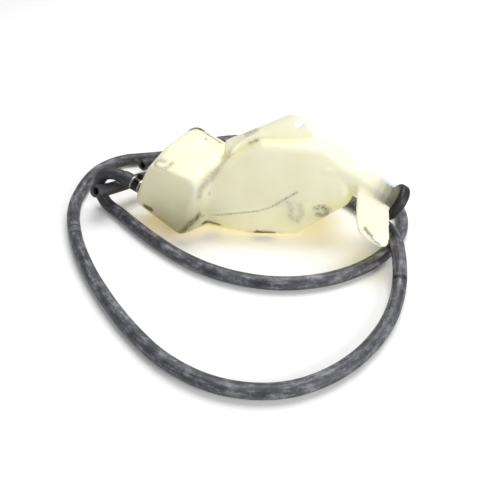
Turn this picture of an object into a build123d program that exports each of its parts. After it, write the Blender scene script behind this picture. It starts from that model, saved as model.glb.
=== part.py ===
from build123d import *
from math import cos, radians, sin, tan
import os

# Coolant recovery tank: one blow-moulded tank of two lobes with a slanted filler neck, a flat tab, an
# upright ear and two hose nipples; a push-in filler cap; a long siphon hose held by a spring clamp; and
# a short vent hose. Millimetres, +X towards the filler neck, +Y towards the back, +Z up, floor at Z 0.

# Tank shell
wall = 2.2
edge_round = 10.0
block_size = 400.0

# Main lobe, standing on the floor; its middle is the point that its faces are measured from
main_height = 85.0
main_length = 140.0
main_rest = 40.0
main_x = 2.5
main_y = 7.5
main_middle = Vector(main_x, main_y, main_rest)

# Left lobe, set off from the main lobe's middle
lobe_spread = 85.0
lobe_forward = 6.0
lobe_drop = 9.0
lobe_middle = main_middle - Vector(lobe_spread, lobe_forward, lobe_drop)

# Faces of the two lobes: bearing and lean of the outward normal in degrees, and reach from the middle
main_faces = {
    "top": (0, 90, main_height - main_rest),
    "bottom": (0, -90, main_rest),
    "front": (262, 25, 35),
    "front_low": (268, -6, 38.5),
    "front_undercut": (254, -34, 51),
    "right_under": (0, -48, 43),
    "right_top": (12, 55, 58),
    "right_end": (346, 10, main_length / 2),
    "valley_slope": (163, 56, 43),
    "back_slope": (88, 35, 24.2),
    "back": (90, 4, 26),
    "back_low": (90, -30, 34),
    "left_end": (180, 0, main_length / 2),
}
lobe_faces = {
    "top": (255, 78, 33.5),
    "bottom": (0, -90, main_rest - lobe_drop),
    "front": (240, 7, 28.6),
    "left": (157.4, 24.8, 32),
    "left_back": (142, 20, 33),
    "left_under": (170, -69, 23.5),
    "back": (47, 5, 49.5),
    "back_low": (60, -35, 40),
    "right": (331, 0, 33),
    "right_under": (308.6, -38, 37),
}

# Filler neck
neck_out = 68.5
neck_forward = 28.9
neck_rise = 18.0
neck_base = main_middle + Vector(neck_out, -neck_forward, neck_rise)
neck_bearing = -13.0
neck_dip = 27.0
neck_radius = 12.5
neck_length = 33.0
neck_root = 24.0
root_taper = 5.0
lip_overhang = 1.0
lip_width = 3.0

# Filler cap
cap_radius = 16.3
cap_thickness = 8.5
cap_edge_round = 2.6
plug_radius = 7.5
plug_length = 22.0
plug_bore = 5.0
plug_floor = 3.0
rib_clearance = 0.15
rib_width = 2.0
rib_start = 5.0
rib_pitch = 6.0
rib_count = 3

# Flat tab beside the neck, in a plane a little in front of the neck's axis
tab_thickness = 3.0
tab_offset = 6.0
tab_depth = 48.5
tab_width = 32.0
tab_slant = 19.3
tab_start = -4.9
tab_near_round = 14.0
tab_far_round = 7.0
tab_facing = Vector(0.2, -0.5, 0.9)

# Upright ear with its bolt hole: a long web that stands on the main lobe in the mould's parting plane
ear_thickness = 4.0
ear_front = 1.0
ear_x = 15.3
ear_rise = 14.2
ear_tip_radius = 8.0
ear_hole_x = 20.0
ear_hole_rise = 13.0
ear_hole_radius = 3.25
ear_left = 61.3
ear_right = 22.5
ear_shoulder = 5.0
ear_shoulder_drop = 3.0
ear_root_drop = 27.0

# Hoses, and the nipples that they push on to
hose_radius = 5.75
hose_bore = 3.5
bend_share = 0.45
nipple_clearance = 0.1
nipple_bore = 2.2
barb_bite = 0.2
barb_taper = 0.4
barb_length = 3.0
boss_radius = 7.0
boss_depth = 9.0
nipple_hole_back = 18.0
siphon_nipple = 14.0
vent_nipple = 8.0

# Spring clamp round the siphon hose
clamp_width = 9.0
clamp_thickness = 0.9
clamp_station = 6.5
clamp_ear_height = 4.5
clamp_ear_width = 5.0
clamp_ear_angle = 24.0
window_width = 4.4
window_angle = 150.0

floor = hose_radius
siphon_route = [
    (-118.2, 7.5, 30.3), (-135.1, 14.7, 36.7), (-146, 18.6, 39), (-156.5, 19.3, 37.4), (-163, 19.4, 31),
    (-165.8, 21.3, 23.6), (-165.9, 21.5, 16), (-163.2, 18.7, 9.25), (-158.3, 13.6, floor),
    (-146.6, 3.8, floor), (-126.7, -15.6, floor), (-109, -34, floor), (-75, -64, floor),
    (-35, -85, floor), (10, -93, floor), (55, -84, floor), (94, -60, floor), (119, -24, floor),
    (122, 12, floor), (105, 48, floor), (80, 85, floor), (46, 117, floor), (2, 134, floor),
    (-44, 137, floor), (-78, 122, floor), (-102, 103, floor), (-130, 97.6, floor), (-158, 94, floor),
    (-179.5, 74, floor), (-187.5, 43.5, floor), (-188.5, 8, floor), (-177, -31, floor),
    (-159, -68, floor), (-136, -104, floor), (-110, -138, floor), (-78, -170, floor),
    (-38, -190, floor), (7, -192, floor), (49, -172, floor), (81, -138, floor), (100, -98, 6.5),
    (103.5, -65, 18.2), (103.2, -44, 18.2), (100, -19, 10), (93, -3, 6.3), (80, 18.5, floor),
    (58, 36, floor), (33, 52, floor), (0, 66, floor), (-34, 77, floor), (-60, 85, floor),
    (-84, 88.5, floor), (-101.5, 88.2, floor), (-113, 86.2, 6.4), (-123.5, 82.8, 8.5),
    (-132.5, 77.6, 12),
]
vent_route = [
    (-106, 35, 22.5), (-117.5, 38, 21), (-127.5, 36.5, 20.3), (-136, 29.8, 20.8), (-143.5, 22.9, 22),
    (-150.3, 16.4, 23.7), (-156.7, 9.4, 25.8), (-159.2, 2.2, 30.6),
]


def pointing(bearing, lean):
    across = cos(radians(lean))
    return Vector(across * cos(radians(bearing)), across * sin(radians(bearing)), sin(radians(lean)))


def rounded_block(middle, faces, inset):
    """Flat-faced block with every edge rounded, drawn in by inset all round."""
    core = Pos(*middle) * Box(block_size, block_size, block_size)
    for bearing, lean, reach in faces.values():
        normal = pointing(bearing, lean)
        cut = Plane(origin=middle + normal * (reach - edge_round), z_dir=normal)
        core = split(core, bisect_by=cut, keep=Keep.BOTTOM)
    return offset(core, amount=edge_round - inset, kind=Kind.ARC)


def standing(height, shape):
    return Pos(0, 0, height / 2) * shape


neck_axis = pointing(neck_bearing, -neck_dip)
neck_plane = Plane(origin=neck_base, z_dir=neck_axis)


def neck_form(inset):
    root = standing(neck_root, Cone(neck_radius - root_taper - inset, neck_radius - inset, neck_root))
    tube = standing(neck_length, Cylinder(neck_radius - inset, neck_length))
    return neck_plane.offset(-neck_root) * root + neck_plane * tube


def neck_lip():
    ring = Cylinder(neck_radius + lip_overhang, lip_width)
    return neck_plane.offset(neck_length - lip_width) * standing(lip_width, ring)


def tab():
    facing = (tab_facing - neck_axis * tab_facing.dot(neck_axis)).normalized()
    lean = tab_depth * tan(radians(tab_slant))
    near_foot = Vector(tab_start + lean, -tab_depth)
    far_foot = near_foot + Vector(tab_width, 0)
    outline = make_face(
        Polyline((tab_start, 0), near_foot, far_foot, (tab_start + tab_width, 0), close=True)
    )
    outline = fillet(outline.vertices().sort_by_distance(near_foot)[0], tab_near_round)
    outline = fillet(outline.vertices().sort_by_distance(far_foot)[0], tab_far_round)
    plate = extrude(outline, amount=tab_thickness / 2, both=True)
    return Plane(origin=neck_base + facing * tab_offset, x_dir=neck_axis, z_dir=facing) * plate


def ear():
    tip = Pos(ear_x, main_height + ear_rise) * Circle(ear_tip_radius)
    root_height = main_height - ear_root_drop
    left_root = Vector(ear_x - ear_left, root_height)
    left_shoulder = Vector(ear_x - ear_left + ear_shoulder, main_height - ear_shoulder_drop)
    right_shoulder = Vector(ear_x + ear_right, main_height - ear_shoulder_drop)
    right_root = Vector(ear_x + ear_right, root_height)
    sides = Line(left_root, left_shoulder).edges() + Line(right_shoulder, right_root).edges()
    hole = Pos(ear_hole_x, main_height + ear_hole_rise) * Circle(ear_hole_radius)
    outline = make_hull(tip.edges() + sides) - hole
    return Pos(0, ear_front + ear_thickness, 0) * extrude(Plane.XZ * outline, amount=ear_thickness)


def start_plane(route):
    start = Vector(*route[0])
    return Plane(origin=start, z_dir=Vector(*route[1]) - start)


def nipple(length):
    """Boss with a barbed spigot on it, drawn up the Z axis from the hose's end face."""
    spigot_radius = hose_bore - nipple_clearance
    boss = Pos(0, 0, -boss_depth) * standing(boss_depth, Cylinder(boss_radius, boss_depth))
    spigot = standing(length, Cylinder(spigot_radius, length))
    barb = standing(barb_length, Cone(hose_bore + barb_bite, spigot_radius - barb_taper, barb_length))
    return boss + spigot + Pos(0, 0, length - barb_length) * barb


def nipple_hole(length):
    reach = length + nipple_hole_back + boss_depth
    return Pos(0, 0, -nipple_hole_back) * standing(reach, Cylinder(nipple_bore, reach))


def tank_body():
    shell = rounded_block(main_middle, main_faces, 0) + rounded_block(lobe_middle, lobe_faces, 0)
    shell += neck_form(0) + neck_lip() + tab() + ear()
    for route, length in ((siphon_route, siphon_nipple), (vent_route, vent_nipple)):
        shell += start_plane(route) * nipple(length)
    hollow = rounded_block(main_middle, main_faces, wall) + rounded_block(lobe_middle, lobe_faces, wall)
    hollow += neck_form(wall)
    shell -= hollow
    for route, length in ((siphon_route, siphon_nipple), (vent_route, vent_nipple)):
        shell -= start_plane(route) * nipple_hole(length)
    return shell


def filler_cap():
    """Round cap with a ribbed hollow plug, drawn with its seat at Z 0 and the plug below."""
    head = standing(cap_thickness, Cylinder(cap_radius, cap_thickness))
    head = fillet(head.edges().filter_by(GeomType.CIRCLE), cap_edge_round)
    plug = Pos(0, 0, -plug_length / 2) * Cylinder(plug_radius, plug_length)
    rib = Cylinder(neck_radius - wall - rib_clearance, rib_width)
    for step in range(rib_count):
        plug += Pos(0, 0, -rib_start - step * rib_pitch) * rib
    hole_depth = plug_length - plug_floor
    plug -= Pos(0, 0, -plug_length) * standing(hole_depth, Cylinder(plug_bore, hole_depth))
    return neck_plane.offset(neck_length) * (head + plug)


def clamp():
    """Open spring band with a window and two grip ears, its axis along Z."""
    outer = hose_radius + clamp_thickness
    band = Cylinder(outer, clamp_width) - Cylinder(hose_radius, clamp_width)
    wedge = Cylinder(outer + clamp_thickness, window_width, arc_size=window_angle)
    band -= Rot(0, 0, 90 + clamp_ear_angle * 2) * wedge
    ear_plate = Box(clamp_thickness, clamp_ear_height, clamp_ear_width)
    for side in (-1, 1):
        lifted = Pos(0, outer + clamp_ear_height / 2 - clamp_thickness / 2, 0) * ear_plate
        band += Rot(0, 0, side * clamp_ear_angle) * lifted
    return band


def hose_clamp():
    start = start_plane(siphon_route)
    across = start.z_dir.cross(Vector(0, 0, 1))
    seat = Plane(origin=start.origin + start.z_dir * clamp_station, x_dir=across * -1, z_dir=start.z_dir)
    return seat * clamp()


def hose(name, route):
    """Plain tube on straight runs and tangent arcs, each arc as large as its two runs allow."""
    points = [Vector(*point) for point in route]
    runs = [b - a for a, b in zip(points, points[1:])]
    turns = [a.get_angle(b) for a, b in zip(runs, runs[1:])]
    radii = [
        bend_share * min(a.length, b.length) / tan(radians(turn / 2))
        for a, b, turn in zip(runs, runs[1:], turns)
    ]
    print(name, "radii", [round(radius, 1) for radius in radii])
    path = FilletPolyline(*points, radius=radii)
    section = Circle(hose_radius) - Circle(hose_bore)
    tube = sweep(start_plane(route) * section, path=path)
    print(name, "length", round(path.length, 1), "volume ratio", tube.volume / (section.area * path.length))
    return tube


os.makedirs("parts", exist_ok=True)
export_step(tank_body(), "parts/tank_body.step")
export_step(filler_cap(), "parts/filler_cap.step")
export_step(hose("siphon_hose", siphon_route), "parts/siphon_hose.step")
export_step(hose_clamp(), "parts/hose_clamp.step")
export_step(hose("vent_hose", vent_route), "parts/vent_hose.step")
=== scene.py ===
import math

import bpy
import numpy as np
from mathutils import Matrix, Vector


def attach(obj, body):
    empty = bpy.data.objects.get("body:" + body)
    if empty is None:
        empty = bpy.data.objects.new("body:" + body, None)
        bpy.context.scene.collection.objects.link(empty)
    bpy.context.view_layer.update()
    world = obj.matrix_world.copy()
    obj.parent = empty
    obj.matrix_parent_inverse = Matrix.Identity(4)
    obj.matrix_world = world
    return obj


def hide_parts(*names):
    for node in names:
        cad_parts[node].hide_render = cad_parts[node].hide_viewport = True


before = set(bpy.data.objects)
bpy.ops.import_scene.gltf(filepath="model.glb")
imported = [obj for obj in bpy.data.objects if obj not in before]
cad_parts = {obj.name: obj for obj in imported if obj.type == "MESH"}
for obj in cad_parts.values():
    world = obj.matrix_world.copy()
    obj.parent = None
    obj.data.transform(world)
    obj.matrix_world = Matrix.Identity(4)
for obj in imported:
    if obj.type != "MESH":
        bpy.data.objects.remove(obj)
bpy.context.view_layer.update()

print("frame loaded:", sorted(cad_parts))
mm = 0.001


def hexToLinear(code):
    # sRGB hex to the linear values that a shader wants
    parts = [int(code[i:i + 2], 16) / 255 for i in (1, 3, 5)]
    return tuple(c / 12.92 if c <= 0.04045 else ((c + 0.055) / 1.055) ** 2.4 for c in parts)


def addNode(tree, kind, settings=None, **links):
    # one node with its settings; a link is input name = (node, output name or number), or a plain value,
    # and i0, i1 and so on name an input by its number
    node = tree.nodes.new(kind)
    for name, value in (settings or {}).items():
        setattr(node, name, value)
    for name, value in links.items():
        socket = node.inputs[int(name[1:])] if name[0] == "i" and name[1:].isdigit() else node.inputs[name]
        if isinstance(value, tuple) and hasattr(value[0], "outputs"):
            tree.links.new(value[0].outputs[value[1]], socket)
        else:
            socket.default_value = value
    return node


def newMaterial(name):
    material = bpy.data.materials.new(name)
    material.use_nodes = True
    tree = material.node_tree
    tree.nodes.clear()
    output = tree.nodes.new("ShaderNodeOutputMaterial")
    return material, tree, output


def deselectAll():
    if bpy.context.object and bpy.context.object.mode != "OBJECT":
        bpy.ops.object.mode_set(mode="OBJECT")
    bpy.ops.object.select_all(action="DESELECT")


def pick(thing):
    deselectAll()
    thing.select_set(True)
    bpy.context.view_layer.objects.active = thing


def applyModifier(thing, name, kind, **settings):
    pick(thing)
    modifier = thing.modifiers.new(name, kind)
    for key, value in settings.items():
        setattr(modifier, key, value)
    bpy.ops.object.modifier_apply(modifier=modifier.name)


# camera, at the photograph's view of about 42 degrees down; its place is in object millimetres
cameraSettings = {"place": (-20.1, -385.1, 307), "pitchDown": 42, "lens": 37.44, "sensor": 36}

cameraData = bpy.data.cameras.new("camera")
cameraData.lens = cameraSettings["lens"]
cameraData.sensor_width = cameraSettings["sensor"]
camera = bpy.data.objects.new("camera", cameraData)
camera.location = Vector(cameraSettings["place"]) * mm
camera.rotation_euler = (math.radians(90 - cameraSettings["pitchDown"]), 0, 0)
bpy.context.scene.collection.objects.link(camera)
bpy.context.scene.camera = camera
print("camera made")

# hoses, in millimetres: their routes follow the solids', but the siphon hose's fold and open end and
# the vent hose's open end were moved by a few millimetres to meet the photograph
hoseSettings = {
    "outerRadius": 5.75,
    "boreRadius": 3.5,
    "boreDepth": 24,
    "boreStep": 2,
    "boreEnd": 0.02,
    "sides": 32,
    "endRound": 0.5,
    "lipAngles": (0, 30, 60, 90),
    # past the clamp the nipple still stretches the hose: by what share, from where to where, how sharply
    "siphonSwell": {"share": 0.2, "start": 12.5, "startSharp": 0.8, "end": 21.0, "endSharp": 0.95},
    "ventSwell": {"share": 0.055, "middle": 7, "width": 3.2},
    # bands along the long hose: distance from its nipple, half width, softness, shade and strength; the first
    # is painted shade over the fold by the clamp, then come a ring mark and a nick, and the last darkens the
    # stretch by the open end
    "siphonMarksAndShade": [
        # painted shade: the siphon hose is darker over its fold by the clamp
        (20, 45, 35, "#2b2b2e", 0.75),
        (927, 5.5, 0.8, "#222328", 0.8),
        (927, 3.4, 0.6, "#63646a", 0.85),
        (1334, 1.5, 0.9, "#131316", 0.9),
        # the long hose is darker along the stretch by its open end
        (1625, 45, 30, "#1e1e21", 0.8),
    ],
    # the short hose is darker along most of its length
    "ventDarkBand": [(35, 60, 10, "#2c2c2f", 0.75)],
}
# the clamp's middle along the siphon hose, its half width, and where its bright rims start and are full
clampSettings = {
    "station": 6.5,
    "halfWidth": 4.5,
    "rimFrom": 1.7,
    "rimFull": 1.2,
    "bandTone": "#3a302c",
    "rimTone": "#a5a29b",
    "roughness": 0.4,
    "metallic": 0.7,
}
floorHeight = hoseSettings["outerRadius"]
siphonRoute = [
    (-118.2, 7.5, 30.3), (-135.1, 14.7, 36.7), (-145.5, 18.6, 39), (-154.5, 19.6, 38), (-160.5, 20.2, 31.5),
    (-163, 21.8, 23.6), (-163, 21.8, 16), (-160.5, 18.7, 9.25), (-155.6, 13.6, floorHeight),
    (-145, 4, floorHeight), (-126.7, -15.6, floorHeight), (-109, -34, floorHeight),
    (-75, -64, floorHeight), (-35, -85, floorHeight), (10, -93, floorHeight), (55, -84, floorHeight),
    (94, -60, floorHeight), (119, -24, floorHeight), (122, 12, floorHeight), (105, 48, floorHeight),
    (80, 85, floorHeight), (46, 117, floorHeight), (2, 134, floorHeight), (-44, 137, floorHeight),
    (-78, 122, floorHeight), (-102, 103, floorHeight), (-130, 97.6, floorHeight),
    (-158, 94, floorHeight), (-179.5, 74, floorHeight), (-187.5, 43.5, floorHeight),
    (-188.5, 8, floorHeight), (-177, -31, floorHeight), (-159, -68, floorHeight),
    (-136, -104, floorHeight), (-110, -138, floorHeight), (-78, -170, floorHeight),
    (-38, -190, floorHeight), (7, -192, floorHeight), (49, -172, floorHeight), (81, -138, floorHeight),
    (100, -98, 6.5), (103.5, -65, 18.2), (103.2, -44, 18.2), (100, -19, 10), (93, -3, 6.3),
    (80, 18.5, floorHeight), (58, 36, floorHeight), (33, 52, floorHeight), (0, 66, floorHeight),
    (-34, 77, floorHeight), (-60, 85, floorHeight), (-84, 88.5, floorHeight),
    (-101.5, 88.2, floorHeight), (-114, 87, 6.4), (-125.5, 84.2, 8.3), (-132, 74.6, 11.5),
]
ventRoute = [
    (-106, 35, 22.5), (-117.5, 38, 21), (-127.5, 36.5, 20.3), (-136, 29.8, 20.8), (-143.5, 22.9, 22),
    (-150.3, 16, 23.7), (-157.5, 9, 25.8), (-160.8, 1.6, 30.6),
]


def splinePath(name, route, stepsPerPoint):
    # the route's points as control points of one smooth spline, read back as a line of points
    data = bpy.data.curves.new(name, "CURVE")
    data.dimensions = "3D"
    data.resolution_u = stepsPerPoint
    spline = data.splines.new("NURBS")
    spline.points.add(len(route) - 1)
    for point, place in zip(spline.points, route):
        point.co = (*[v * mm for v in place], 1)
    spline.order_u = 3
    spline.use_endpoint_u = True
    holder = bpy.data.objects.new(name, data)
    bpy.context.scene.collection.objects.link(holder)
    bpy.context.view_layer.update()
    line = bpy.data.meshes.new_from_object(holder)
    path = np.array([v.co for v in line.vertices])
    bpy.data.objects.remove(holder)
    bpy.data.meshes.remove(line)
    return path


def ringFrames(path):
    # tangent and two side directions at each point, carried along without twisting
    tangents = np.gradient(path, axis=0)
    tangents /= np.linalg.norm(tangents, axis=1)[:, None]
    side = np.cross(tangents[0], (0, 0, 1.0))
    sides = []
    for tangent in tangents:
        side = side - tangent * side.dot(tangent)
        side = side / np.linalg.norm(side)
        sides.append(side)
    sides = np.array(sides)
    return tangents, sides, np.cross(tangents, sides)


def hoseMesh(name, path, swell):
    # outer skin, rounded lips and the open bore as one closed tube; swell gives the radius along it
    outer = hoseSettings["outerRadius"] * mm
    bore = hoseSettings["boreRadius"] * mm
    lip = hoseSettings["endRound"] * mm
    count = hoseSettings["sides"]
    tangents, sides, ups = ringFrames(path)
    along = np.concatenate([[0], np.cumsum(np.linalg.norm(np.diff(path, axis=0), axis=1))])
    length = along[-1]

    def place(distance):
        return [np.array([np.interp(distance, along, column[:, k]) for k in range(3)])
                for column in (path, tangents, sides, ups)]

    rings = [(d, outer * swell(d / mm, length / mm)) for d in along if lip < d < length - lip]
    lipTurns = [math.radians(a) for a in hoseSettings["lipAngles"]]
    start = [(lip - lip * math.sin(a), outer - lip + lip * math.cos(a)) for a in reversed(lipTurns)]
    finish = [(length - d, r) for d, r in reversed(start)]
    depth = hoseSettings["boreDepth"] * mm
    boreStep = hoseSettings["boreStep"] * mm
    inner = [(length - lip * 0.5, bore), (length - boreStep, bore)]
    steps = int(depth / boreStep)
    inner += [(length - boreStep - (depth - boreStep) * k / steps, bore) for k in range(1, steps + 1)]
    inner += [(length - depth, hoseSettings["boreEnd"] * mm)]
    startInner = [(length - d, r) for d, r in reversed(inner)]
    profile = startInner + start + rings + finish + inner
    points = []
    for distance, radius in profile:
        centre, tangent, side, up = place(distance)
        for k in range(count):
            angle = 2 * math.pi * k / count
            points.append(centre + radius * (side * math.cos(angle) + up * math.sin(angle)))
    faces = []
    for ring in range(len(profile) - 1):
        for k in range(count):
            a = ring * count + k
            b = ring * count + (k + 1) % count
            faces.append((a, b, b + count, a + count))
    last = (len(profile) - 1) * count
    faces.append(tuple(range(count - 1, -1, -1)))
    faces.append(tuple(range(last, last + count)))
    mesh = bpy.data.meshes.new(name)
    mesh.from_pydata([tuple(p) for p in points], [], faces)
    lengthways = mesh.uv_layers.new(name="lengthways")
    for polygon in mesh.polygons:
        for loop in polygon.loop_indices:
            vertex = mesh.loops[loop].vertex_index
            ring, k = divmod(vertex, count)
            wrap = 1 if k == 0 and any(
                mesh.loops[other].vertex_index % count == count - 1 for other in polygon.loop_indices
            ) else 0
            lengthways.data[loop].uv = (profile[ring][0], k / count + wrap)
    mesh.update()
    hose = bpy.data.objects.new(name, mesh)
    bpy.context.scene.collection.objects.link(hose)
    pick(hose)
    bpy.ops.object.mode_set(mode="EDIT")
    bpy.ops.mesh.select_all(action="SELECT")
    bpy.ops.mesh.normals_make_consistent(inside=False)
    bpy.ops.object.mode_set(mode="OBJECT")
    bpy.ops.object.shade_smooth()
    return hose, length


def makeHose(name, node, route, stepsPerPoint, swell):
    path = splinePath(name + "Route", route, stepsPerPoint)
    hose, length = hoseMesh(name, path, swell)
    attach(hose, "tank")
    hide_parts(node)
    print(name, "made,", round(length / mm), "mm long")
    return hose


def siphonSwell(distance, length):
    # under the clamp the hose keeps its size
    swell = hoseSettings["siphonSwell"]
    rise = 0.5 + 0.5 * math.tanh((distance - swell["start"]) * swell["startSharp"])
    fall = 0.5 - 0.5 * math.tanh((distance - swell["end"]) * swell["endSharp"])
    return 1 + swell["share"] * rise * fall


def ventSwell(distance, length):
    swell = hoseSettings["ventSwell"]
    return 1 + swell["share"] * math.exp(-((distance - swell["middle"]) / swell["width"]) ** 2)


siphonHose = makeHose("siphonHose", "siphon_hose", siphonRoute, 14, siphonSwell)
ventHose = makeHose("ventHose", "vent_hose", ventRoute, 10, ventSwell)

# tank: the moulding's own skin made one soft even mesh, then formed along lines over its skin, soiled, and
# painted with shade and contact shadow
tankSettings = {
    "weld": 0.01,
    "voxel": 1.35,
    "smoothFactor": 0.5,
    "smoothTurns": 8,
    "neckBase": (71, -21.4, 58),
    "neckBearing": -13,
    "neckDip": 27,
    "clearFrom": 3,
    "clearTo": 30,
    "clearWithin": 14.5,
    "ribPlaces": (15, 21, 27),
    "ribReach": 1.3,
    "gapClear": 0.88,
    # the left lobe's front leans back above this plane: a place on it, its facing and the wall behind it
    "lobeBrow": {"place": (-86, -14.6, 62), "bearing": 240, "lean": 26, "wall": 2.2, "leftOf": -52},
    # the skin is smoothed near these lines: how far from them, and how many turns
    "blendFactor": 0.6,
    "blendLine": [(-62.2, -29.9, 47.2), (-65, -33, 34), (-66, -34, 20), (-66, -33, 10)],
    "blendWithin": 13,
    "blendTurns": 90,
    "valleyWithin": 12,
    "valleyTurns": 36,
}

# each form: a line over the skin in millimetres, how wide it is, and how far it sinks (raised if negative)
tankForms = {
    "crestBead": {
        "line": [(-38.1, 1, 68), (-35.4, 1, 74), (-31.9, 1, 79.8), (-26, 1, 84.5), (-20.1, 1, 88.3),
                 (-13.5, 1, 92)],
        "width": 1.7, "sink": -1.9,
    },
    "dimple": {
        "line": [(-94.2, -0.8, 64.1), (-98.8, 1.6, 64.1), (-102.5, 1.6, 62.7), (-102.5, -4.6, 62.6),
                 (-99.4, -9.3, 62.1), (-94.1, -10.2, 62.2), (-87.9, -3.6, 63.9)],
        "width": 2.0, "sink": 1.3,
    },
    "crease": {
        "line": [(-61.9, -29.3, 25.9), (-46.2, -28.1, 26.6), (-30.5, -28.9, 29.1), (-14.9, -29.8, 31.7),
                 (-3, -30.7, 36.5), (4.5, -30.7, 42), (11.9, -29.7, 46.6), (19.3, -28.7, 51)],
        "width": 1.5, "sink": 0.35,
    },
    "crescent": {
        "line": [(40.8, -23.3, 68.8), (44.9, -23.6, 69.5), (51.4, -28, 69.4)],
        "width": 1.9, "sink": -1.0,
    },
}

# each stain or painted shade: a line over the skin, how wide it spreads, and how dark it is; the valley,
# crease and crest lines are grime with painted shade, the dimple line is painted shade, the contact shadow
# lines are a painted shadow along the bottom edge, and the rest are dirt
tankStainsAndShade = {
    # painted shade in the valley between the lobes, with some grime
    "valley": {
        "line": [(-62.2, -29.9, 47.2), (-61.2, -27.6, 52.8), (-55.7, -17.5, 55.9), (-49, -11.1, 60.8),
                 (-42.3, -4, 65.2), (-36.4, 1, 71)],
        "width": 3.6, "dark": 0.34},
    # a dark line along the crease: painted shade in it, with dirt
    "crease": {"line": tankForms["crease"]["line"], "width": 0.95, "dark": 0.8},
    # darker above and under the crest bead: grime, with painted shade under the bead
    "crestTop": {"line": [(-23.4, 1, 88.6), (-20.1, 1, 90.6), (-14, 1, 93.4)], "width": 1.9, "dark": 0.6},
    "crestUnder": {"line": [(-20.1, 1, 81.2), (-17.6, 1, 82.2), (-13.5, 0, 84)], "width": 1.6, "dark": 0.7},
    # painted shade in the dimple
    "dimple": {"line": tankForms["dimple"]["line"], "width": 1.7, "dark": 0.8},
    # painted contact shadow where the bottom edge meets the floor, in these three lines
    "contactShadowLeft": {"line": [(-60, -24.5, 14.5), (-55, -21.5, 10.5), (-50, -22.5, 9.5)],
                "width": 2.8, "dark": 4.0},
    "contactShadowRun": {"line": [(-48.4, -24, 10.5), (-37.9, -25.5, 8), (-26.3, -26.5, 6), (-16.5, -27.2, 5)],
               "width": 1.2, "dark": 0.6},
    "contactShadowRight": {"line": [(-14, -27.2, 5), (-8, -27.6, 4.4), (0, -28.2, 4.2)], "width": 2.4, "dark": 4.0},
    "streak": {"line": [(-82.3, -31.8, 8.6), (-77.1, -34.6, 15), (-71, -37, 23.7), (-64, -32.9, 29.2)],
               "width": 3.0, "dark": 1.0},
    "patchLeft": {"line": [(12.1, -31.4, 42.1), (15.8, -31.2, 35.5), (14.6, -30.3, 27.2), (21, -29.9, 21.3),
                           (24.8, -31, 29.9), (22.3, -32, 40.4)], "width": 3.2, "dark": 0.34},
    "patchRight": {"line": [(36.1, -32.1, 37.3), (41, -32.5, 39.2), (46.5, -32.3, 35.3), (44.9, -30.3, 27.2),
                            (38.5, -31.5, 30.3)], "width": 2.8, "dark": 0.8},
    "dotLow": {"line": [(-55.2, -20.3, 46.5), (-55.3, -21.4, 44.2)], "width": 0.9, "dark": 2.4},
    "dotTop": {"line": [(-59.4, 24, 71.2), (-58.9, 24.4, 71.2)], "width": 0.8, "dark": 2.0},
    "lobeSpot": {"line": [(-113.8, -14.3, 25.4), (-110.9, -16.1, 25.1), (-108, -17.9, 24.8)],
                 "width": 1.7, "dark": 3.5},
    "tabSpot": {"line": [(72.2, -63, 40.7), (74.6, -65.2, 38.4), (77, -67.4, 36.1)],
                "width": 1.3, "dark": 1.3},
    "tabRun": {"line": [(77.8, -68.7, 35), (81, -70.7, 32.5), (84.3, -72, 30.5)], "width": 0.8, "dark": 1.0},
    "cornerDark": {"line": [(-74.7, 39.9, 71.9), (-71, 40.2, 73.2), (-67.3, 40.1, 73.3), (-62.7, 38, 72.4)],
                   "width": 1.8, "dark": 2.4},
    "edgeDark": {"line": [(-62.5, 35.7, 72.7), (-56.8, 29.8, 72), (-50.3, 23.5, 71.1), (-45.7, 18.5, 70.5)],
                 "width": 1.0, "dark": 1.0},
}

# broad darker, duller patches: painted shade on the lobe's front and in the valley, partly dried coolant, and
# a patch at the neck's root; a line over the skin, how wide it spreads, and how dull it is
tankFilmsAndShade = {
    # painted shade: the lobe's front is darker towards its bottom, partly dried coolant
    "lobeFront": {"line": [(-98, -23, 20), (-86, -31, 16), (-70, -36, 24)], "width": 23, "dull": 0.66},
    # painted shade in the valley
    "valley": {"line": [(-62, -30, 46), (-61, -27, 53), (-55.7, -17.5, 56), (-49, -11, 61)],
               "width": 5, "dull": 0.4},
    # darker and duller at the neck's root
    "neckRoot": {"line": [(74, -28, 52), (84, -30, 50)], "width": 9, "dull": 0.3},
}


def farFromLine(places, line):
    # how far each place is from a line of points
    far = np.full(len(places), 1e6)
    for start, end in zip(np.array(line), np.array(line)[1:]):
        along = end - start
        share = np.clip((places - start) @ along / along.dot(along), 0, 1)
        far = np.minimum(far, np.linalg.norm(places - start - share[:, None] * along, axis=1))
    return far


def nearness(places, mark):
    # one on the mark's line and fading to nought away from it
    return np.exp(-(farFromLine(places, mark["line"]) / mark["width"]) ** 2)


def strongest(places, marks, key):
    # at each place, the largest share that any of the marks gives it
    most = np.zeros(len(places))
    for mark in marks.values():
        most = np.maximum(most, mark[key] * nearness(places, mark))
    return most


def facing(bearing, lean):
    # unit direction from a bearing and a lean above level, both in degrees
    turn, rise = math.radians(bearing), math.radians(lean)
    return np.array((math.cos(rise) * math.cos(turn), math.cos(rise) * math.sin(turn), math.sin(rise)))


def readVectors(mesh, name):
    flat = np.zeros(len(mesh.vertices) * 3)
    mesh.vertices.foreach_get(name, flat)
    return flat.reshape(-1, 3)


def paint(mesh, name, values):
    layer = mesh.attributes.new(name, "FLOAT", "POINT")
    layer.data.foreach_set("value", values.astype(np.float32))


def movePlaces(mesh, places):
    mesh.vertices.foreach_set("co", (places * mm).ravel())
    mesh.update()


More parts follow.
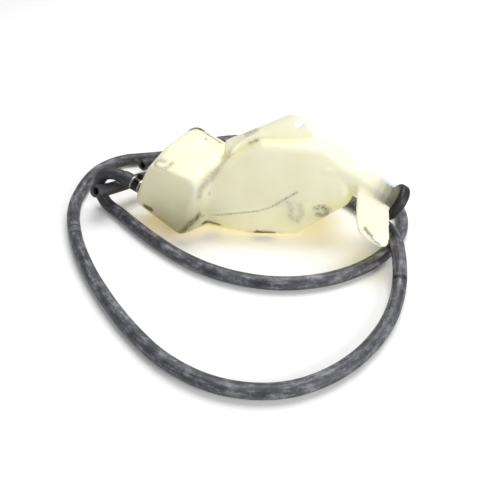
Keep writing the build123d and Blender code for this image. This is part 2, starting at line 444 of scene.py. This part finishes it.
def smoothNear(thing, name, line, within, turns):
    # full strength up to 0.4 of the distance within, and none past 1.4 of it
    near = np.clip(1.4 - farFromLine(readVectors(thing.data, "co") / mm, line) / within, 0, 1)
    group = thing.vertex_groups.new(name=name)
    for index in np.nonzero(near > 0.01)[0]:
        group.add([int(index)], float(near[index]), "REPLACE")
    applyModifier(thing, name, "SMOOTH", factor=tankSettings["blendFactor"], iterations=turns,
                  vertex_group=name)


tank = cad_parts["tank_body"].copy()
tank.data = tank.data.copy()
tank.name = "tank"
bpy.context.scene.collection.objects.link(tank)
tank.parent = None
for key in list(tank.keys()):
    del tank[key]
pick(tank)
bpy.ops.object.mode_set(mode="EDIT")
bpy.ops.mesh.select_all(action="SELECT")
bpy.ops.mesh.remove_doubles(threshold=tankSettings["weld"] * mm)
bpy.ops.object.mode_set(mode="OBJECT")
applyModifier(tank, "evenMesh", "REMESH", mode="VOXEL", voxel_size=tankSettings["voxel"] * mm, adaptivity=0)

# the lobe's front, laid back to the ridge where it meets the top
brow = tankSettings["lobeBrow"]
browFacing = facing(brow["bearing"], brow["lean"])
tankPlaces = readVectors(tank.data, "co") / mm
isOuter = readVectors(tank.data, "normal") @ browFacing > 0
over = (tankPlaces - np.array(brow["place"])) @ browFacing + np.where(isOuter, 0, brow["wall"])
over = np.where(tankPlaces[:, 0] < brow["leftOf"], np.maximum(over, 0), 0)
movePlaces(tank.data, tankPlaces - over[:, None] * browFacing)
applyModifier(tank, "soften", "SMOOTH", factor=tankSettings["smoothFactor"],
              iterations=tankSettings["smoothTurns"])

smoothNear(tank, "blend", tankSettings["blendLine"], tankSettings["blendWithin"],
           tankSettings["blendTurns"])
smoothNear(tank, "valley", tankStainsAndShade["valley"]["line"][:-1], tankSettings["valleyWithin"],
           tankSettings["valleyTurns"])

tankPlaces = readVectors(tank.data, "co") / mm
tankNormals = readVectors(tank.data, "normal")
shift = np.zeros(len(tankPlaces))
for form in tankForms.values():
    shift -= form["sink"] * nearness(tankPlaces, form)
tankPlaces = tankPlaces + tankNormals * shift[:, None]
movePlaces(tank.data, tankPlaces)

# the grime attribute carries dirt, painted shade and a painted contact shadow; the film attribute carries
# painted shade, partly dried coolant
paint(tank.data, "grime", strongest(tankPlaces, tankStainsAndShade, "dark"))
paint(tank.data, "film", strongest(tankPlaces, tankFilmsAndShade, "dull"))

neckAxis = facing(tankSettings["neckBearing"], -tankSettings["neckDip"])
fromBase = tankPlaces - np.array(tankSettings["neckBase"])
neckRun = fromBase @ neckAxis
neckSide = np.linalg.norm(fromBase - neckRun[:, None] * neckAxis, axis=1)
clearRun = tankSettings["clearTo"] - tankSettings["clearFrom"]
clear = np.clip((neckRun - tankSettings["clearFrom"]) / clearRun, 0, 1)
clear *= neckSide < tankSettings["clearWithin"]
# the plug's ribs stand close to the wall and show through it; the gaps between them look milky
ribTouch = sum(np.exp(-((neckRun - place) / tankSettings["ribReach"]) ** 2)
               for place in tankSettings["ribPlaces"])
gapClear = tankSettings["gapClear"]
clear *= gapClear + (1 - gapClear) * np.minimum(ribTouch, 1)
paint(tank.data, "clear", clear * clear * (3 - 2 * clear))
pick(tank)
bpy.ops.object.shade_smooth()
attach(tank, "tank")
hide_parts("tank_body")
print("tank made,", len(tank.data.polygons), "faces")


# materials
def mixShaders(tree, share, first, second):
    return addNode(tree, "ShaderNodeMixShader", i0=share, i1=(first, 0), i2=(second, 0))


def mixColours(tree, share, first, code):
    # from the first colour, by a share, to the colour of the hex code
    return addNode(tree, "ShaderNodeMixRGB", {"blend_type": "MIX"}, Fac=share, Color1=first,
                   Color2=(*hexToLinear(code), 1))


def reckon(tree, operation, clamped, *values):
    # one sum on up to three values, each a number or (node, output)
    inputs = {f"i{number}": value for number, value in enumerate(values)}
    return addNode(tree, "ShaderNodeMath", {"operation": operation, "use_clamp": clamped}, **inputs)


def rampNode(tree, source, stops):
    ramp = addNode(tree, "ShaderNodeValToRGB", Fac=source)
    while len(ramp.color_ramp.elements) < len(stops):
        ramp.color_ramp.elements.new(0.5)
    for element, (place, code) in zip(ramp.color_ramp.elements, stops):
        element.position = place
        element.color = (*hexToLinear(code), 1)
    return ramp


# pattern scales are repeats in a metre: 38 makes clouds of about 26 mm and 760 specks of about 1.3 mm
plasticSettings = {
    "cloudScale": 38.0,
    "speckScale": 760.0,
    "detail": 4.0,
    "noiseRough": 0.6,
    "tones": [(0.3, "#fbfcf2"), (0.72, "#f5f3e1")],
    "speckGain": 4.0,
    "speckOffset": -1.2,
    # the film tone is painted shade, partly dried coolant
    "filmAndShadeTone": "#b8b08a",
    # the grime tone darkens for dirt and for painted shade
    "grimeAndShadeTone": "#1f1c12",
    "throughTone": "#fdfdf4",
    "throughPaler": 0.5,
    "throughShare": 0.34,
    "roughness": 0.38,
    "ior": 1.5,
    # how much light passes straight through: in the clear neck, elsewhere, and more for shadow rays
    "clearGain": 0.82,
    "clearLeast": 0.08,
    "shadowGain": 0.7,
    "filmAndShadeDulls": 0.3,
    "seenTint": "#eaf1f6",
    "shadowTint": "#f6ecb2",
}


def makeTankPlastic():
    # natural polyethylene, blow moulded: milky and waxy, yellowed, its thin wall lets light through; the
    # grime colour is dirt mixed with painted shade and a painted contact shadow, and the film colour is
    # painted shade, partly dried coolant
    look = plasticSettings
    material, tree, output = newMaterial("natural HDPE, blow moulded")
    where = addNode(tree, "ShaderNodeTexCoord")
    cloud, speck = [addNode(tree, "ShaderNodeTexNoise", Vector=(where, "Object"), Scale=look[scale],
                            Detail=look["detail"], Roughness=look["noiseRough"])
                    for scale in ("cloudScale", "speckScale")]
    tone = rampNode(tree, (cloud, "Fac"), look["tones"])
    grimeAndShadeAmount, filmAndShadeAmount, clearAmount = [
        addNode(tree, "ShaderNodeAttribute", {"attribute_name": name}) for name in ("grime", "film", "clear")]
    speckled = reckon(tree, "MULTIPLY_ADD", False, (speck, "Fac"), look["speckGain"], look["speckOffset"])
    # the grime and film amounts darken the colour and dull the see-through: dirt, painted shade and painted
    # contact shadow
    dirtAndShade = reckon(tree, "MULTIPLY", True, (grimeAndShadeAmount, "Fac"), (speckled, 0))
    filmedAndShaded = mixColours(tree, (filmAndShadeAmount, "Fac"), (tone, "Color"), look["filmAndShadeTone"])
    colour = mixColours(tree, (dirtAndShade, 0), (filmedAndShaded, 0), look["grimeAndShadeTone"])
    body = addNode(tree, "ShaderNodeBsdfPrincipled", Roughness=look["roughness"], IOR=look["ior"])
    tree.links.new(colour.outputs[0], body.inputs["Base Color"])
    paler = mixColours(tree, look["throughPaler"], (colour, 0), look["throughTone"])
    through = addNode(tree, "ShaderNodeBsdfTranslucent", Color=(paler, 0))
    milky = mixShaders(tree, look["throughShare"], body, through)
    seeThrough = reckon(tree, "MULTIPLY_ADD", False, (clearAmount, "Fac"), look["clearGain"],
                        look["clearLeast"])
    rayKind = addNode(tree, "ShaderNodeLightPath")
    tint = mixColours(tree, (rayKind, "Is Shadow Ray"), (*hexToLinear(look["seenTint"]), 1),
                      look["shadowTint"])
    window = addNode(tree, "ShaderNodeBsdfTransparent", Color=(tint, 0))
    shade = reckon(tree, "MULTIPLY", False, (rayKind, "Is Shadow Ray"), look["shadowGain"])
    opening = reckon(tree, "ADD", True, (seeThrough, 0), (shade, 0))
    dull = reckon(tree, "MULTIPLY_ADD", False, (filmAndShadeAmount, "Fac"), look["filmAndShadeDulls"], (dirtAndShade, 0))
    passed = reckon(tree, "SUBTRACT", True, (opening, 0), (dull, 0))
    final = mixShaders(tree, (passed, 0), milky, window)
    tree.links.new(final.outputs[0], output.inputs["Surface"])
    return material


def bandNode(tree, source, centre, halfWidth, soft):
    # one near the centre value and nought away from it
    away = reckon(tree, "SUBTRACT", False, source, centre)
    size = reckon(tree, "ABSOLUTE", False, (away, 0))
    return addNode(tree, "ShaderNodeMapRange", {"interpolation_type": "SMOOTHSTEP"}, Value=(size, 0),
                   i1=halfWidth + soft, i2=halfWidth, i3=0.0, i4=1.0)


# the streaks' scale is repeats in a metre along the hose and repeats round it; the blots' is about 9 mm
rubberSettings = {
    "streakScale": (48, 8, 1),
    "streakDetail": 10.0,
    "streakRough": 0.72,
    "streakShare": 0.6,
    "blotScale": 110.0,
    "blotDetail": 8.0,
    "blotRough": 0.7,
    "blotShare": 0.4,
    "tones": [(0.37, "#1f2023"), (0.5, "#4b4c52"), (0.63, "#94959b")],
    "roughness": 0.5,
}


def makeHoseRubber(name, marks):
    # EPDM rubber, extruded: charcoal with a chalky bloom rubbed off in blotches and streaks, and bands at
    # set distances from the nipple: real marks, painted shade, and plain darker stretches
    look = rubberSettings
    material, tree, output = newMaterial(name)
    wrap = addNode(tree, "ShaderNodeUVMap", {"uv_map": "lengthways"})
    place = addNode(tree, "ShaderNodeTexCoord")
    stretched = addNode(tree, "ShaderNodeMapping", Vector=(wrap, "UV"), Scale=look["streakScale"])
    streaks = addNode(tree, "ShaderNodeTexNoise", Vector=(stretched, "Vector"), Scale=1.0,
                      Detail=look["streakDetail"], Roughness=look["streakRough"])
    blot = addNode(tree, "ShaderNodeTexNoise", Vector=(place, "Object"), Scale=look["blotScale"],
                   Detail=look["blotDetail"], Roughness=look["blotRough"])
    weighed = reckon(tree, "MULTIPLY", False, (streaks, "Fac"), look["streakShare"])
    total = reckon(tree, "MULTIPLY_ADD", False, (blot, "Fac"), look["blotShare"], (weighed, 0))
    tone = rampNode(tree, (total, 0), look["tones"])
    colour = (tone, "Color")
    lengthways = addNode(tree, "ShaderNodeSeparateXYZ", Vector=(wrap, "UV"))
    # each band mixes its shade in: real marks such as the ring and the nick, and painted shade over the
    # siphon hose's fold
    for distance, halfWidth, soft, shade, strength in marks:
        band = bandNode(tree, (lengthways, "X"), distance * mm, halfWidth * mm, soft * mm)
        amount = reckon(tree, "MULTIPLY", False, (band, 0), strength)
        colour = (mixColours(tree, (amount, 0), colour, shade), 0)
    shader = addNode(tree, "ShaderNodeBsdfPrincipled", Roughness=look["roughness"])
    tree.links.new(colour[0].outputs[colour[1]], shader.inputs["Base Color"])
    tree.links.new(shader.outputs[0], output.inputs["Surface"])
    return material


capSettings = {"tone": "#1b1b1f", "roughness": 0.5}


def makeCapRubber():
    # EPDM rubber, moulded in a steel tool: even, black and satin
    material, tree, output = newMaterial("EPDM rubber, moulded")
    shader = addNode(tree, "ShaderNodeBsdfPrincipled", Roughness=capSettings["roughness"])
    shader.inputs["Base Color"].default_value = (*hexToLinear(capSettings["tone"]), 1)
    tree.links.new(shader.outputs[0], output.inputs["Surface"])
    return material


def makeClampSteel():
    # spring steel, rolled and zinc plated: the band has gone brown between its two bright rims
    material, tree, output = newMaterial("spring steel, zinc plated")
    place = addNode(tree, "ShaderNodeTexCoord")
    start, further = np.array(siphonRoute[0]), np.array(siphonRoute[1])
    axis = (further - start) / np.linalg.norm(further - start)
    middle = start + axis * clampSettings["station"]
    along = addNode(tree, "ShaderNodeVectorMath", {"operation": "DOT_PRODUCT"}, i0=(place, "Object"),
                    i1=tuple(axis))
    away = reckon(tree, "SUBTRACT", False, (along, "Value"), float(middle @ axis) * mm)
    size = reckon(tree, "ABSOLUTE", False, (away, 0))
    rim = addNode(tree, "ShaderNodeMapRange", Value=(size, 0), i3=0.0, i4=1.0,
                  i1=(clampSettings["halfWidth"] - clampSettings["rimFrom"]) * mm,
                  i2=(clampSettings["halfWidth"] - clampSettings["rimFull"]) * mm)
    colour = mixColours(tree, (rim, 0), (*hexToLinear(clampSettings["bandTone"]), 1),
                        clampSettings["rimTone"])
    shader = addNode(tree, "ShaderNodeBsdfPrincipled", Roughness=clampSettings["roughness"],
                     Metallic=clampSettings["metallic"])
    tree.links.new(colour.outputs[0], shader.inputs["Base Color"])
    tree.links.new(shader.outputs[0], output.inputs["Surface"])
    return material


def dress(thing, material):
    thing.data.materials.clear()
    thing.data.materials.append(material)


dress(tank, makeTankPlastic())
dress(siphonHose, makeHoseRubber("EPDM rubber, extruded", hoseSettings["siphonMarksAndShade"]))
dress(ventHose, makeHoseRubber("EPDM rubber, extruded, short hose", hoseSettings["ventDarkBand"]))
dress(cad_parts["filler_cap"], makeCapRubber())
dress(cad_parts["hose_clamp"], makeClampSteel())
print("materials made")

# floor, world and lamps; lengths in metres and lamp power in watts
stageSettings = {
    "floorSize": 6,
    "floorDrop": 0.0002,
    "floorShade": 0.9,
    "floorGlow": 0.08,
    "worldStrength": 0.33,
    "worldSeen": 1.0,
    "lampAim": (0, 0, 0.03),
    "lamps": {
        "keyLamp": {"place": (0.2, 0.5, 1.3), "size": 1.1, "power": 17},
        "fillLamp": {"place": (1.0, -1.0, 0.75), "size": 0.8, "power": 12},
    },
}

# white paper, pressed and matte, with a little glow that only the camera sees
floorMaterial, floorTree, floorOutput = newMaterial("pale paper floor")
paper = addNode(floorTree, "ShaderNodeBsdfDiffuse", Color=(*[stageSettings["floorShade"]] * 3, 1))
glow = addNode(floorTree, "ShaderNodeEmission", Color=(1, 1, 1, 1))
ray = addNode(floorTree, "ShaderNodeLightPath")
seen = reckon(floorTree, "MULTIPLY", False, (ray, "Is Camera Ray"), stageSettings["floorGlow"])
floorTree.links.new(seen.outputs[0], glow.inputs["Strength"])
both = addNode(floorTree, "ShaderNodeAddShader", i0=(paper, 0), i1=(glow, 0))
floorTree.links.new(both.outputs[0], floorOutput.inputs["Surface"])

deselectAll()
floorPlace = (0, 0, -stageSettings["floorDrop"])
bpy.ops.mesh.primitive_plane_add(size=stageSettings["floorSize"], location=floorPlace)
floor = bpy.context.object
floor.name = "floor"
bpy.ops.object.transform_apply(location=True, rotation=True, scale=True)
dress(floor, floorMaterial)

world = bpy.data.worlds.new("studio")
bpy.context.scene.world = world
world.use_nodes = True
worldTree = world.node_tree
worldTree.nodes["Background"].inputs["Color"].default_value = (1, 1, 1, 1)
sky = addNode(worldTree, "ShaderNodeLightPath")
skyStrength = addNode(worldTree, "ShaderNodeMapRange", Value=(sky, "Is Camera Ray"),
                      i3=stageSettings["worldStrength"], i4=stageSettings["worldSeen"])
worldTree.links.new(skyStrength.outputs[0], worldTree.nodes["Background"].inputs["Strength"])


def addLamp(name, place, size, power):
    data = bpy.data.lights.new(name, "AREA")
    data.shape = "DISK"
    data.size = size
    data.energy = power
    lamp = bpy.data.objects.new(name, data)
    lamp.location = place
    aim = Vector(stageSettings["lampAim"]) - Vector(place)
    lamp.rotation_euler = aim.to_track_quat("-Z", "Y").to_euler()
    bpy.context.scene.collection.objects.link(lamp)


for lampName, lampValues in stageSettings["lamps"].items():
    addLamp(lampName, **lampValues)

bpy.context.scene.view_settings.view_transform = "Standard"
print("stage made")
